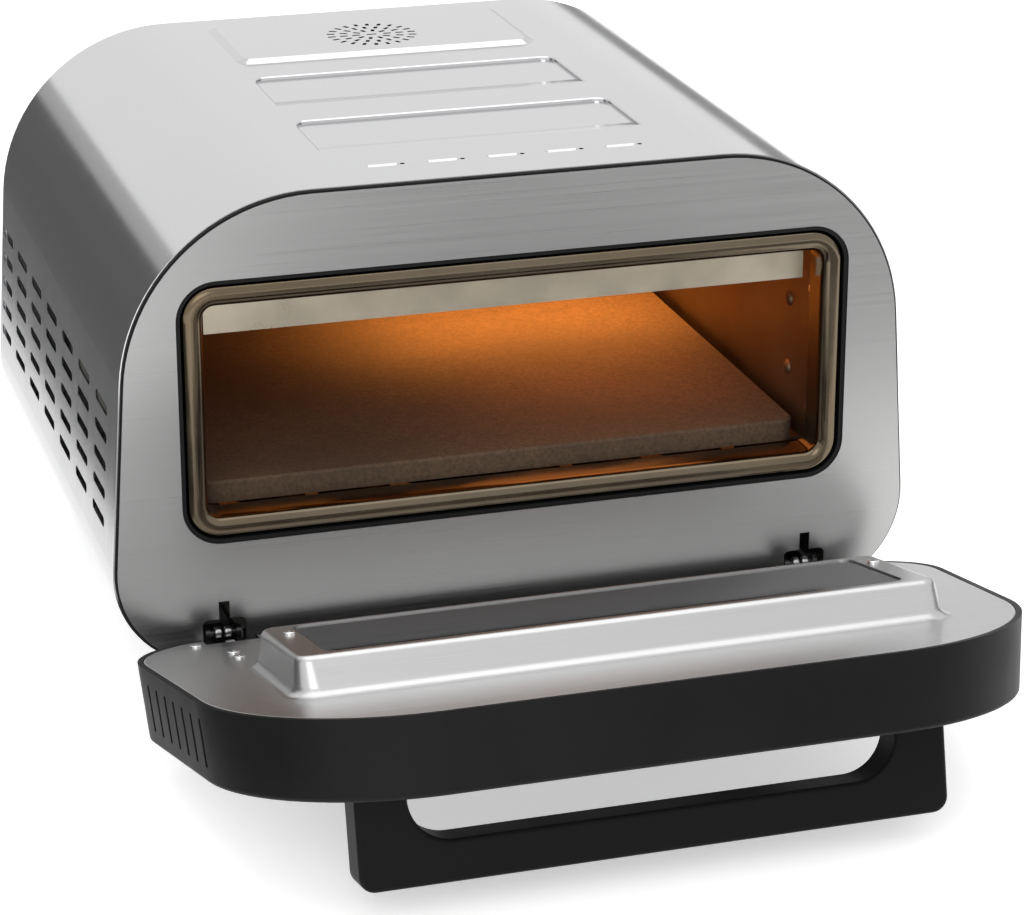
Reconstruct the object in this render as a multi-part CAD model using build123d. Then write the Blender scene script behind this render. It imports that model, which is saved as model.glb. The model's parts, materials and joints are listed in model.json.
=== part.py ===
from build123d import *
import os
from math import atan, cos, degrees, radians, sin, sqrt

# A countertop pizza oven with its drop-down door standing open.
# Millimetres, +Z up, the door faces -Y. The origin is on the surface that the oven stands on, at the
# middle of its footprint. Body parts are drawn in the body frame: depth 0 is the front panel's face
# and height 0 is the body's underside. Door parts are drawn lying flat in the hinge frame: the origin
# is the hinge axis, -Y runs out along the door and +Z points out of its inner face.

# Body
BODY_WIDTH = 445.0
BODY_TOP_WIDTH = 409.3
BODY_HEIGHT = 251.7
BODY_DEPTH = 374.0
BODY_TOP_RADIUS = 100.6
BODY_LOW_RADIUS = 53.2
FOOT_HEIGHT = 38.0
SHELL_GAP = 1.0
SHELL_SHEET = 0.9
SEAM_DEPTH = 2.5
SHEET = 0.8
SPACER_LENGTH = 18.0

# Vents and pressings of the outer shell
VENT_ROWS = 5
VENT_COLUMNS = 7
VENT_ROW_PITCH = 15.3
VENT_COLUMN_PITCH = 50.6
VENT_FIRST_ROW = 73.5
VENT_FIRST_COLUMN = 46.5
VENT_SLOT = (33.0, 5.4)
PRESSING_WIDTH = 180.0
PRESSING_LENGTH = 64.0
PRESSING_DEPTH = 1.8
PRESSING_LIP = 0.6
PRESSING_REAR_EDGES = (132.0, 230.0)
PRESSING_CORNER = 9.0
PRESSING_RAMP = 14.0
STEP_FRONT = 260.0
STEP_BACK = 356.0
STEP_RISE = 2.2
STEP_RAMP = 4.5
FLUE_DEPTH = 302.0
FLUE_RADIUS = 20.0
FLUE_RINGS = (10, 16, 22)
POCKET_COUNT = 5
POCKET_PITCH = 32.5
POCKET_DEPTH_LINE = 34.0
POCKET_SIZE = (18.0, 4.2)

# Rear panel, base and feet
REAR_SCREW_SPOTS = [(x, z) for x in (-186, 186) for z in (30, 120)] + [(-95, 236), (95, 236)]
SPACER_SPOTS = [(-120, 84), (120, 84)]
GLAND_SPOT = (150.0, 40.0)
BASE_SCREW_SPOTS = [(x, y) for x in (-148, 148) for y in (28, 185, 346)]
FOOT_SPOTS = [(x, y) for x in (-152, 152) for y in (72, 300)]

# Opening, its rolled bead and the cavity behind it
OPENING_WIDTH = 366.5
OPENING_LOW = 67.0
OPENING_HIGH = 210.2
OPENING_RADIUS = 21.0
BEAD_GAP = 2.4
BEAD_WIDTH = 11.9
BEAD_DEPTH = 7.0
THROAT_DEPTH = 19.0
CAVITY_WIDTH = 344.0
CAVITY_FLOOR = 50.0
CAVITY_ROOF = 212.0
CAVITY_FRONT = 11.0
CAVITY_BACK = 336.0
INSULATION = 8.0
STONE_SIZE = (336.0, 300.0, 12.0)
STONE_FRONT = 30.0
STONE_UNDERSIDE = 78.0
TUBE_RADIUS = 3.25
UPPER_ELEMENT_HEIGHT = 197.0
LOWER_ELEMENT_HEIGHT = 60.0
ELEMENT_END = 350.0
ELEMENT_ENDS = [(x, z) for x in (-30, 30) for z in (LOWER_ELEMENT_HEIGHT, UPPER_ELEMENT_HEIGHT)]
ELEMENT_SUPPORT_DEPTHS = (90.0, 215.0)
REFLECTOR_LEVEL = 205.0
BAFFLE_DEPTH = 20.0
BAFFLE_LOW = 175.5
DIMPLE_SPOTS = [(55.0, 112.0), (55.0, 152.0)]
PROBE_SPOT = (290.0, 165.0)
WALL_SCREW_SPOTS = [(22.0, 99.0), (22.0, 168.0)]

# Power board
BOARD_X = 192.0
BOARD_LOW, BOARD_HIGH = 62.0, 142.0
BOARD_FRONT, BOARD_BACK = 100.0, 250.0
BRACKET_X = 188.0

# Hinge
AXIS_DEPTH = -14.8
AXIS_HEIGHT = 5.94
AXIS_TO_INNER_FACE = 13.3
OPEN_TILT = 13.43
HINGE_X = 163.0
PIN_RADIUS = 3.0
ARM_SHEET = 4.4
ARM_NOSE = 9.0
ROLLER_SPOT = (6.4, 14.4)
ROLLER_RADIUS = 3.1
ROLLER_SPAN = (0.6, 4.8)
CHEEK_INNER = 7.0
CHEEK_SHEET = 2.5

# Door
DOOR_EDGE = -1.5
DOOR_LENGTH = 243.2
DOOR_WIDTH = 446.0
DOOR_TOP_WIDTH = 409.0
DOOR_LOW_RADIUS = 46.4
DOOR_TOP_RADIUS = 98.5
DOOR_THICKNESS = 40.35
DOOR_DRAFT = 3.24
BAND_WALL = 3.2
BOSS_WIDTH = 334.0
BOSS_NEAR = 76.5
BOSS_FAR = 177.0
BOSS_HEIGHT = 19.0
BOSS_SLOPE = 7.5
BOSS_END_SLOPE = 2.5
BOSS_TOP_FILLET = 4.0
SHEET_EDGE_FILLET = 0.6
BOSS_FOOT_FILLET = 6.0
GLASS_THICKNESS = 3.0
WINDOW_WIDTH = 299.0
WINDOW_NEAR = 89.0
WINDOW_FAR = 164.0
OUTER_WINDOW_WIDTH = 284.0
OUTER_WINDOW_NEAR = 86.0
OUTER_WINDOW_FAR = 156.0
SLIT_COUNT = 7
SLIT_PITCH = 15.7
SLIT_FIRST = 58.0
ARM_SCREW_SPOTS = [(x, reach) for x in (-170, 170) for reach in (43, 57)]
PANEL_SCREW_SPOTS = [(x, 15) for x in (-184, 184)]
BOSS_SCREW_SPOTS = [(x, 110) for x in (-154.6, 154.6)]

# Handle and controls
HANDLE_WIDTH = 300.0
HANDLE_NEAR = 183.0
HANDLE_DEPTH = 20.0
HANDLE_DROP = 51.0
HANDLE_BAR = 21.0
HANDLE_POST = 26.0
KNOB_X = 100.0
CONTROL_REACH = 34.0
CONTROL_WIDTH = 290.0
CONTROL_LENGTH = 50.0
DISPLAY_SPAN = (-52.0, 12.0)
DISPLAY_HALF = 11.0
BUTTON_X = 42.0
BUTTON_TRAVEL = 1.5
SWITCH_HEIGHT = 3.5

# Worked out from the sizes above
CROWN = BODY_HEIGHT + SHELL_GAP + SHELL_SHEET
SHELL_UNDERSIDE = -SHELL_GAP - SHELL_SHEET
BASE_TOP = -SHELL_GAP + 1.2
PANEL_BACK = BODY_DEPTH - 5.0
DOOR_INNER = AXIS_TO_INNER_FACE
DOOR_OUTER = DOOR_INNER - DOOR_THICKNESS
PANEL_OUTER = DOOR_OUTER + 0.65
PANEL_INNER = PANEL_OUTER + 1.0
BEZEL_OUTER = PANEL_OUTER - 2.0
BOARD_OUTER = PANEL_INNER + 11.0
BOSS_TOP = DOOR_INNER + BOSS_HEIGHT
HANDLE_POST_X = (HANDLE_WIDTH - HANDLE_POST) / 2
HANDLE_SCREW_SPOTS = [
    (x, HANDLE_NEAR + HANDLE_DEPTH / 2 + offset)
    for x in (-HANDLE_POST_X, HANDLE_POST_X)
    for offset in (-5, 5)
]
REAR_REACH = PANEL_BACK + SPACER_LENGTH
DOOR_FAR = DOOR_EDGE + DOOR_LENGTH
FRONT_REACH = (
    AXIS_DEPTH
    - (DOOR_FAR - DOOR_DRAFT) * cos(radians(OPEN_TILT))
    + DOOR_OUTER * sin(radians(OPEN_TILT))
)
FRONT_Y = -(FRONT_REACH + REAR_REACH) / 2

BODY_PLACE = Pos(0, FRONT_Y, FOOT_HEIGHT)
DOOR_PLACE = BODY_PLACE * Pos(0, AXIS_DEPTH, AXIS_HEIGHT) * Rot(X=-OPEN_TILT)


# ---------------------------------------------------------------- helpers

def rounded_trapezoid(low_width, top_width, height, low_radius, top_radius, inset=0.0):
    """A symmetric trapezoid standing on y = 0 with rounded corners, pulled in all round by inset."""
    slope = (low_width - top_width) / 2 / height
    lean = sqrt(1 + slope * slope)

    def half(level):
        return low_width / 2 - slope * level - inset * lean

    low, high = inset, height - inset
    corners = [(-half(low), low), (half(low), low), (half(high), high), (-half(high), high)]
    face = Polygon(*corners, align=None)
    face = fillet(face.vertices().sort_by(Axis.Y)[:2], low_radius - inset)
    return fillet(face.vertices().sort_by(Axis.Y)[-2:], top_radius - inset)


def body_outline(inset=0.0):
    return rounded_trapezoid(
        BODY_WIDTH, BODY_TOP_WIDTH, BODY_HEIGHT, BODY_LOW_RADIUS, BODY_TOP_RADIUS, inset
    )


def door_outline(inset=0.0):
    outline = rounded_trapezoid(
        DOOR_WIDTH, DOOR_TOP_WIDTH, DOOR_LENGTH, DOOR_LOW_RADIUS, DOOR_TOP_RADIUS, inset
    )
    return Pos(0, DOOR_EDGE) * outline


def opening_outline(inset=0.0):
    height = OPENING_HIGH - OPENING_LOW
    rounded = RectangleRounded(
        OPENING_WIDTH - 2 * inset, height - 2 * inset, OPENING_RADIUS - inset
    )
    return Pos(0, OPENING_LOW + height / 2) * rounded


def through_depth(sketch, start, end):
    """Extrude an upright sketch (x, height) from one depth to another."""
    plane = Plane(origin=(0, start, 0), x_dir=(1, 0, 0), z_dir=(0, -1, 0))
    return extrude(plane * sketch, amount=start - end)


def through_door(sketch, top, bottom):
    """Extrude a plan sketch (x, reach from the hinge) from one level of the door down to another."""
    plane = Plane(origin=(0, 0, top), x_dir=(1, 0, 0), z_dir=(0, 0, -1))
    return extrude(plane * sketch, amount=top - bottom)


def block(x0, x1, y0, y1, z0, z1):
    size = (x1 - x0, y1 - y0, z1 - z0)
    return Pos((x0 + x1) / 2, (y0 + y1) / 2, (z0 + z1) / 2) * Box(*size)


def door_block(x0, x1, near, far, bottom, top):
    return block(x0, x1, -far, -near, bottom, top)


def rod(start, end, radius):
    """A round bar between two points."""
    start, end = Vector(*start), Vector(*end)
    plane = Plane(origin=start, z_dir=end - start)
    return extrude(plane * Circle(radius), amount=(end - start).length)


def tube_along(points, radius, bend):
    """A round tube along straight runs joined by tangent bends."""
    path = FilletPolyline(*points, radius=bend)
    return sweep(Plane(origin=path @ 0, z_dir=path % 0) * Circle(radius), path=path)


def pan_screw(head_radius, head_height, shank_radius, shank_length):
    """A screw with its head standing on z = 0 and its shank below."""
    head = Pos(0, 0, head_height / 2) * Cylinder(head_radius, head_height)
    head = fillet(head.edges().group_by(Axis.Z)[-1], head_height * 0.45)
    recess = Pos(0, 0, head_height) * Box(head_radius, 0.9, head_height)
    cross = Pos(0, 0, head_height) * Box(0.9, head_radius, head_height)
    shank = Pos(0, 0, -shank_length / 2) * Cylinder(shank_radius, shank_length)
    return head - recess - cross + shank


def both_sides(part):
    return [part, mirror(part, about=Plane.YZ)]


# ---------------------------------------------------------------- outer case

def side_vents():
    """A grid of oblong air slots, cut through both flanks."""
    slot = Rot(Y=90) * extrude(Rot(Z=90) * SlotOverall(*VENT_SLOT), amount=30, both=True)
    cutters = []
    for row in range(VENT_ROWS):
        for column in range(VENT_COLUMNS):
            depth = VENT_FIRST_COLUMN + column * VENT_COLUMN_PITCH
            height = VENT_FIRST_ROW + row * VENT_ROW_PITCH
            for side in (-1, 1):
                cutters.append(Pos(side * BODY_WIDTH / 2, depth, height) * slot)
    return cutters


def sunk_pocket(width, length, depth, corner, lean):
    """A pocket that goes down from z = 0 about the origin; lean is its walls' angle off vertical."""
    plan = RectangleRounded(width, length, corner)
    return extrude(Plane(origin=(0, 0, 0), z_dir=(0, 0, -1)) * plan, amount=depth, taper=lean)


def roof_pressing(rear):
    """A shallow tray whose floor ramps down from the roof's surface at its front edge."""
    drop = degrees(atan(PRESSING_DEPTH / PRESSING_RAMP))
    size = (PRESSING_WIDTH, PRESSING_LENGTH + 20)
    tray = sunk_pocket(size[0] - 2, size[1] - 2, PRESSING_DEPTH, PRESSING_CORNER - 1, 8)
    tray += sunk_pocket(*size, PRESSING_LIP, PRESSING_CORNER, 64)
    tray = Pos(0, rear - size[1] / 2, 0) * tray
    above = Pos(0, rear - PRESSING_LENGTH, 0) * Rot(X=-drop) * block(-150, 150, -100, 100, 0, 20)
    return tray & above


def roof_step():
    """The raised rear part of the roof that carries the flue grille."""
    depth = STEP_BACK - STEP_FRONT
    foot_plan = RectangleRounded(PRESSING_WIDTH, depth, 9)
    top_plan = RectangleRounded(PRESSING_WIDTH - 2 * STEP_RAMP, depth - 2 * STEP_RAMP, 5)
    step = loft([foot_plan, Pos(0, 0, STEP_RISE) * top_plan], ruled=True)
    return Pos(0, STEP_FRONT + depth / 2, 0) * step


def pressed_roof(shell):
    """Give the shell its two sunk pressings, its front pockets and its raised rear step."""
    sunk = [Pos(0, 0, CROWN) * roof_pressing(rear) for rear in PRESSING_REAR_EDGES]
    pocket = sunk_pocket(*POCKET_SIZE, 1.2, 2, 40)
    holes = []
    for index in range(POCKET_COUNT):
        x = (index - (POCKET_COUNT - 1) / 2) * POCKET_PITCH
        sunk.append(Pos(x, POCKET_DEPTH_LINE, CROWN) * pocket)
        holes.append(Pos(x + POCKET_SIZE[0] / 2 + 1.6, POCKET_DEPTH_LINE, CROWN) * Cylinder(1.3, 6))
    backing = [Pos(0, 0, -SHELL_SHEET) * hollow for hollow in sunk]
    raised = Pos(0, 0, CROWN) * roof_step()
    return shell + backing + raised - sunk - holes - Pos(0, 0, -SHELL_SHEET) * raised


def flue_grille():
    """Three rings of short radial slots round a small middle slot."""
    cutters = [Pos(0, FLUE_DEPTH, CROWN) * Box(6, 2, 12)]
    for ring, count in enumerate(FLUE_RINGS):
        radius = 9.5 + ring * 7.4
        for spoke in range(count):
            turn = Rot(Z=360 * spoke / count)
            cutters.append(Pos(0, FLUE_DEPTH, CROWN) * turn * Pos(radius, 0, 0) * Box(4.6, 2.2, 12))
    return cutters


def outer_shell():
    ring = body_outline(-SHELL_GAP - SHELL_SHEET) - body_outline(-SHELL_GAP)
    shell = through_depth(ring, SEAM_DEPTH, BODY_DEPTH)
    shell -= block(-140, 140, 0, BODY_DEPTH + 1, -10, 10)
    shell = pressed_roof(shell) - (side_vents() + flue_grille())
    for x, y in BASE_SCREW_SPOTS + FOOT_SPOTS:
        shell -= Pos(x, y, 0) * Cylinder(2.1, 12)
    return shell


def hinge_slot():
    """Cut-out for one hinge: a wide mouth for the bracket under a narrow slit."""
    mouth = Pos(0, 13.2) * RectangleRounded(23.5, 22.8, 3)
    slit = Pos(0, 28) * Rectangle(5.8, 13)
    return Pos(-HINGE_X, 0) * (mouth + slit)


def front_panel():
    face = body_outline() - opening_outline()
    slot = hinge_slot()
    face = face - slot - mirror(slot, about=Plane.YZ)
    rim = body_outline() - body_outline(1.2)
    return through_depth(face, 0, 1.2) + through_depth(rim, 1.2, 12)


def seam_gasket():
    ring = body_outline(-SHELL_GAP + 0.05) - body_outline(-0.05)
    return through_depth(ring, 1.0, 10)


def rear_panel():
    outline = body_outline(-SHELL_GAP + 0.1)
    plate = through_depth(outline, PANEL_BACK - 1, PANEL_BACK)
    rim = outline - body_outline(0.3)
    panel = plate + through_depth(rim, PANEL_BACK - 6, PANEL_BACK - 1)
    slot = Rot(X=90) * extrude(SlotOverall(46, 4.5), amount=8, both=True)
    cutters = []
    for column in (-1, 0, 1):
        for row in range(7):
            cutters.append(Pos(column * 62, PANEL_BACK, 100 + row * 12) * slot)
    gland_x, gland_z = GLAND_SPOT
    cutters.append(rod((gland_x, 340, gland_z), (gland_x, 380, gland_z), 7.6))
    for x, z in REAR_SCREW_SPOTS + SPACER_SPOTS:
        cutters.append(rod((x, 340, z), (x, 380, z), 1.9))
    return panel - cutters


def rear_panel_screws():
    screw = Rot(X=-90) * pan_screw(3.6, 2.0, 1.8, 8)
    return Compound(children=[Pos(x, PANEL_BACK, z) * screw for x, z in REAR_SCREW_SPOTS])


def rear_spacers():
    """Two stubs that keep the hot back of the oven off the wall."""
    spacers = []
    for x, z in SPACER_SPOTS:
        stub = rod((x, PANEL_BACK, z), (x, PANEL_BACK + SPACER_LENGTH, z), 11)
        stub = chamfer(stub.edges().group_by(Axis.Y)[-1], 2)
        spacers.append(stub + rod((x, PANEL_BACK - 6, z), (x, PANEL_BACK, z), 1.85))
    return Compound(children=spacers)


def cord_gland():
    """The round bushing where the supply cord enters."""
    x, z = GLAND_SPOT
    gland = rod((x, PANEL_BACK, z), (x, PANEL_BACK + 9, z), 11)
    gland = fillet(gland.edges().group_by(Axis.Y)[-1], 3)
    gland += rod((x, PANEL_BACK - 9, z), (x, PANEL_BACK, z), 7.5)
    return gland - rod((x, PANEL_BACK - 20, z), (x, PANEL_BACK + 20, z), 4.0)


# ---------------------------------------------------------------- base

def base_plate():
    plate = block(-165, 165, 13, 352, -SHELL_GAP, BASE_TOP)
    slot = extrude(SlotOverall(60, 5), amount=6, both=True)
    for column in (-1, 0, 1):
        for row in range(6):
            plate -= Pos(column * 82, 110 + row * 24, 0) * slot
    for x, y in BASE_SCREW_SPOTS + FOOT_SPOTS:
        plate -= Pos(x, y, 0) * Cylinder(2.1, 12)
    return plate


def base_screws():
    screw = Pos(0, 0, SHELL_UNDERSIDE) * Rot(X=180) * pan_screw(3.6, 2.0, 2.0, 8)
    return Compound(children=[Pos(x, y, 0) * screw for x, y in BASE_SCREW_SPOTS])


def foot(spot):
    """One hollow foot, wider at the top, with a seat for the screw."""
    height = FOOT_HEIGHT + SHELL_UNDERSIDE - 3
    cone = Pos(0, 0, SHELL_UNDERSIDE - height / 2) * Cone(14, 17, height)
    bore = Pos(0, 0, SHELL_UNDERSIDE - height / 2) * Cylinder(2.2, height + 2)
    hollow = Pos(0, 0, SHELL_UNDERSIDE - height / 2 - 4) * Cylinder(7, height - 8)
    hollow -= Pos(0, 0, SHELL_UNDERSIDE - 3) * Cylinder(20, 10)
    return Pos(*spot, 0) * (cone - bore - hollow)


def foot_pads():
    pad = Pos(0, 0, -FOOT_HEIGHT + 1.5) * Cylinder(14, 3)
    pad = fillet(pad.edges().group_by(Axis.Z)[0], 1)
    return Compound(children=[Pos(x, y, 0) * pad for x, y in FOOT_SPOTS])


def foot_screws():
    seat = SHELL_UNDERSIDE - 8
    screw = Pos(0, 0, seat) * Rot(X=180) * pan_screw(4.5, 2.6, 2.0, 16)
    return Compound(children=[Pos(x, y, 0) * screw for x, y in FOOT_SPOTS])


# ---------------------------------------------------------------- cavity

def cavity_bead():
    """The rolled rim of the oven mouth and the short throat behind it."""
    ring = opening_outline(BEAD_GAP) - opening_outline(BEAD_GAP + BEAD_WIDTH)
    bead = through_depth(ring, -0.4, BEAD_DEPTH)
    bead = fillet(bead.faces().sort_by(Axis.Y)[0].edges(), 5.4)
    inner = BEAD_GAP + BEAD_WIDTH
    throat = opening_outline(inner - SHEET) - opening_outline(inner)
    return bead + through_depth(throat, BEAD_DEPTH - 1, THROAT_DEPTH)


def cavity_gasket():
    ring = opening_outline(0.15) - opening_outline(BEAD_GAP - 0.1)
    return through_depth(ring, 0.7, 9)


def cavity_liner():
    half = CAVITY_WIDTH / 2
    outer = block(
        -half - SHEET, half + SHEET, CAVITY_FRONT, CAVITY_BACK + SHEET,
        CAVITY_FLOOR - SHEET, CAVITY_ROOF + SHEET,
    )
    outer = fillet(outer.edges().filter_by(Axis.Y), 10 + SHEET)
    inner = block(-half, half, CAVITY_FRONT + SHEET, CAVITY_BACK, CAVITY_FLOOR, CAVITY_ROOF)
    inner = fillet(inner.edges().filter_by(Axis.Y), 10)
    dimples = []
    for y, z in DIMPLE_SPOTS:
        ball = Pos(half + 3.4, y, z) * Sphere(5.6)
        dimples += both_sides(ball & block(half - 3, half + SHEET, y - 6, y + 6, z - 6, z + 6))
    liner = outer - inner + dimples
    inset = BEAD_GAP + BEAD_WIDTH - SHEET - 0.3
    liner -= through_depth(opening_outline(inset), 0, CAVITY_FRONT + 5)
    liner -= Pos(0, FLUE_DEPTH, CAVITY_ROOF) * Cylinder(FLUE_RADIUS - 1, 10)
    for x, z in ELEMENT_ENDS:
        liner -= rod((x, CAVITY_BACK - 5, z), (x, CAVITY_BACK + 5, z), 5)
    liner -= rod((half - 5, *PROBE_SPOT), (half + 5, *PROBE_SPOT), 2.7)
    for spot in WALL_SCREW_SPOTS:
        liner -= both_sides(rod((half - 5, *spot), (half + 5, *spot), 1.6))
    return liner


def cavity_wall_screws():
    half = CAVITY_WIDTH / 2
    screw = Rot(Y=-90) * pan_screw(2.8, 1.6, 1.5, 6)
    screws = []
    for y, z in WALL_SCREW_SPOTS:
        screws += both_sides(Pos(half, y, z) * screw)
    return Compound(children=screws)


def front_baffle():
    """The bright strip that hides the upper element from the front."""
    back = BAFFLE_DEPTH + SHEET
    strip = block(-165, 165, BAFFLE_DEPTH, back, BAFFLE_LOW, CAVITY_ROOF - 5)
    strip += block(-158, 158, BAFFLE_DEPTH, back, BAFFLE_LOW, CAVITY_ROOF)
    return strip + block(-158, 158, BAFFLE_DEPTH, 34, CAVITY_ROOF - SHEET, CAVITY_ROOF)


def insulation_blanket():
    half = CAVITY_WIDTH / 2 + SHEET + 0.3
    low, high = CAVITY_FLOOR - SHEET - 0.3, CAVITY_ROOF + SHEET + 0.3
    back = CAVITY_BACK + SHEET + 0.3
    outer = block(
        -half - INSULATION, half + INSULATION, 26, back + INSULATION, low - INSULATION,
        high + INSULATION,
    )
    outer = fillet(outer.edges().filter_by(Axis.Y), 18)
    inner = block(-half, half, 20, back, low, high)
    inner = fillet(inner.edges().filter_by(Axis.Y), 10)
    blanket = outer - inner
    blanket -= Pos(0, FLUE_DEPTH, high) * Cylinder(FLUE_RADIUS + 1, 30)
    for x, z in ELEMENT_ENDS:
        blanket -= rod((x, CAVITY_BACK, z), (x, CAVITY_BACK + 20, z), 5.4)
    blanket -= rod((half - 5, *PROBE_SPOT), (half + 20, *PROBE_SPOT), 5.4)
    return blanket


def heating_element(height):
    """A serpentine tube in a level plane, both ends leaving through the back wall."""
    right = [
        (30, ELEMENT_END), (30, 305), (145, 305), (145, 58),
        (97, 58), (97, 255), (49, 255), (49, 58),
    ]
    left = [(-x, y) for x, y in reversed(right)]
    return tube_along([(x, y, height) for x, y in right + left], TUBE_RADIUS, 18)


def element_bushings():
    """Ceramic bushes that carry the element ends through the back wall."""
    bushes = []
    for x, z in ELEMENT_ENDS:
        bush = rod((x, CAVITY_BACK - 3, z), (x, CAVITY_BACK + 10, z), 4.9)
        bushes.append(bush - rod((x, 300, z), (x, 360, z), TUBE_RADIUS + 0.1))
    return Compound(children=bushes)


def element_terminals():
    pins = [rod((x, ELEMENT_END, z), (x, ELEMENT_END + 6, z), 1.6) for x, z in ELEMENT_ENDS]
    return Compound(children=pins)


def element_supports(height, anchor):
    """Two flat cross bars under an element, their ends bent to reach the sheet that holds them."""
    top = height - TUBE_RADIUS
    low, high = sorted((top - 1.2, anchor))
    bars = []
    for y in ELEMENT_SUPPORT_DEPTHS:
        bar = block(-152, 152, y, y + 8, top - 1.2, top)
        for side in (-1, 1):
            inner, outer = sorted((side * 150.8, side * 152))
            bar += block(inner, outer, y, y + 8, low, max(high, top))
        bars.append(bar)
    return Compound(children=bars)


def upper_reflector():
    """A bright sheet over the upper element, hung from the roof on four studs."""
    plate = block(-156, 156, 42, 326, REFLECTOR_LEVEL, REFLECTOR_LEVEL + SHEET)
    plate -= Pos(0, FLUE_DEPTH, REFLECTOR_LEVEL) * Cylinder(FLUE_RADIUS, 6)
    for x in (-140, 140):
        for y in (60, 270):
            plate += rod((x, y, REFLECTOR_LEVEL), (x, y, CAVITY_ROOF), 3)
    return plate


def stone_rails():
    """Angle strips on the cavity walls that carry the edges of the stone."""
    wall, reach = CAVITY_WIDTH / 2, 152
    shelf = block(reach, wall, 34, 326, STONE_UNDERSIDE - 1.5, STONE_UNDERSIDE)
    leg = block(wall - 1.5, wall, 34, 326, STONE_UNDERSIDE - 8, STONE_UNDERSIDE)
    return Compound(children=both_sides(shelf + leg))


def pizza_stone():
    width, depth, thickness = STONE_SIZE
    slab = block(
        -width / 2, width / 2, STONE_FRONT, STONE_FRONT + depth,
        STONE_UNDERSIDE, STONE_UNDERSIDE + thickness,
    )
    slab = fillet(slab.edges().filter_by(Axis.Z), 10)
    return chamfer(slab.faces().sort_by(Axis.Z)[-1].edges(), 1.2)


def exhaust_duct():
    """The flue from the cavity roof to the round vent."""
    low, high = CAVITY_ROOF + SHEET, BODY_HEIGHT + SHELL_GAP - 0.2
    wall = Pos(0, FLUE_DEPTH, (low + high) / 2) * Cylinder(FLUE_RADIUS, high - low)
    flange = Pos(0, FLUE_DEPTH, high - 0.5) * Cylinder(FLUE_RADIUS + 11, 1)
    return wall + flange - Pos(0, FLUE_DEPTH, (low + high) / 2) * Cylinder(FLUE_RADIUS - SHEET, 60)


def temperature_probe():
    half = CAVITY_WIDTH / 2
    sheath = rod((half - 26, *PROBE_SPOT), (half + 14, *PROBE_SPOT), 2.5)
    return sheath + rod((half + SHEET + 9, *PROBE_SPOT), (half + SHEET + 13, *PROBE_SPOT), 5)


# ---------------------------------------------------------------- power electronics

def board_bracket():
    """A folded sheet that steps up from the base beside the cavity, with four pressed studs."""
    y0, y1 = BOARD_FRONT - 5, BOARD_BACK + 3
    bracket = block(130, 164, y0, y1, BASE_TOP, BASE_TOP + 1.2)
    bracket += block(162.8, 164, y0, y1, BASE_TOP, 38)
    bracket += block(162.8, BRACKET_X, y0, y1, 36.8, 38)
    bracket += block(BRACKET_X - 1.2, BRACKET_X, y0, y1, 36.8, BOARD_HIGH + 4)
    for y in (106, 232):
        for z in (68, 136):
            bracket += rod((BRACKET_X - 0.5, y, z), (BOARD_X, y, z), 3)
    for x, y in BASE_SCREW_SPOTS:
        bracket -= Pos(x, y, 0) * Cylinder(2.1, 12)
    return bracket


def power_board():
    """The relay board with two relays, a transformer, a capacitor and its terminal block."""
    board = block(BOARD_X, BOARD_X + 1.6, BOARD_FRONT, BOARD_BACK, BOARD_LOW, BOARD_HIGH)
    face = BOARD_X + 1.6
    for y in (118, 146):
        board += block(face, face + 13, y, y + 20, 96, 124)
    board += block(face, face + 14, 180, 212, 74, 108)
    board += rod((face, 130, 78), (face + 13, 130, 78), 7)
    board += block(face, face + 9, 240, 250, 70, 135)
    for row in range(6):
        board -= rod((face + 5, 245, 76 + row * 10.5), (face + 12, 245, 76 + row * 10.5), 2.6)
    return board


def element_wires():
    """Four leads from the element terminals to the terminal block."""
    wires = []
    lane_x = BOARD_X + 3
    for index, (x, z) in enumerate(ELEMENT_ENDS):
        back = 353.4 if x > 0 else 358.6
        start = x + 1.7 if x > 0 else x
        drop = {60: 82, 197: 113}[int(z)] + (10 if x > 0 else 0)
        route = [(start, back, z), (lane_x, back, z), (lane_x, back, drop), (lane_x, 250, drop)]
        wires.append(tube_along(route, 1.2, 7))
    return Compound(children=wires)


# ---------------------------------------------------------------- hinges

def upright(sketch, centre_x, thickness):
    """Extrude a side-view sketch (depth, height) by thickness about an x position."""
    plane = Plane(origin=(centre_x - thickness / 2, 0, 0), x_dir=(0, 1, 0), z_dir=(1, 0, 0))
    return extrude(plane * sketch, amount=thickness)


def hinge_bracket(side):
    """Two cheeks on a base web: they reach out to hold the pin and carry two fixed detent rollers."""
    knuckle = Pos(AXIS_DEPTH, AXIS_HEIGHT) * Circle(6.5)
    neck = Polygon(
        (AXIS_DEPTH, 3), (14, 3), (20, BASE_TOP), (46, BASE_TOP), (46, 12.4), (AXIS_DEPTH, 12.4),
        align=None,
    )
    lobe = Pos(*ROLLER_SPOT) * Circle(ROLLER_RADIUS) + Pos(ROLLER_SPOT[0] + 3, 11) * Rectangle(10, 8)
    cheek = knuckle + neck + lobe - Pos(AXIS_DEPTH, AXIS_HEIGHT) * Circle(PIN_RADIUS)
    centre = CHEEK_INNER + CHEEK_SHEET / 2
    x = side * HINGE_X
    bracket = upright(cheek, x - centre, CHEEK_SHEET) + upright(cheek, x + centre, CHEEK_SHEET)
    for flank in (-1, 1):
        near, far = (x + flank * reach for reach in ROLLER_SPAN)
        roller = rod((near, *ROLLER_SPOT), (far, *ROLLER_SPOT), ROLLER_RADIUS)
        axle_end = x + flank * (CHEEK_INNER + 0.5)
        axle = rod((far - flank, *ROLLER_SPOT), (axle_end, *ROLLER_SPOT), 1.6)
        bracket += fillet(roller.edges(), 1.2) + axle
    reach = CHEEK_INNER + CHEEK_SHEET
    return bracket + block(x - reach, x + reach, 20, 46, BASE_TOP, BASE_TOP + 2)


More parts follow.
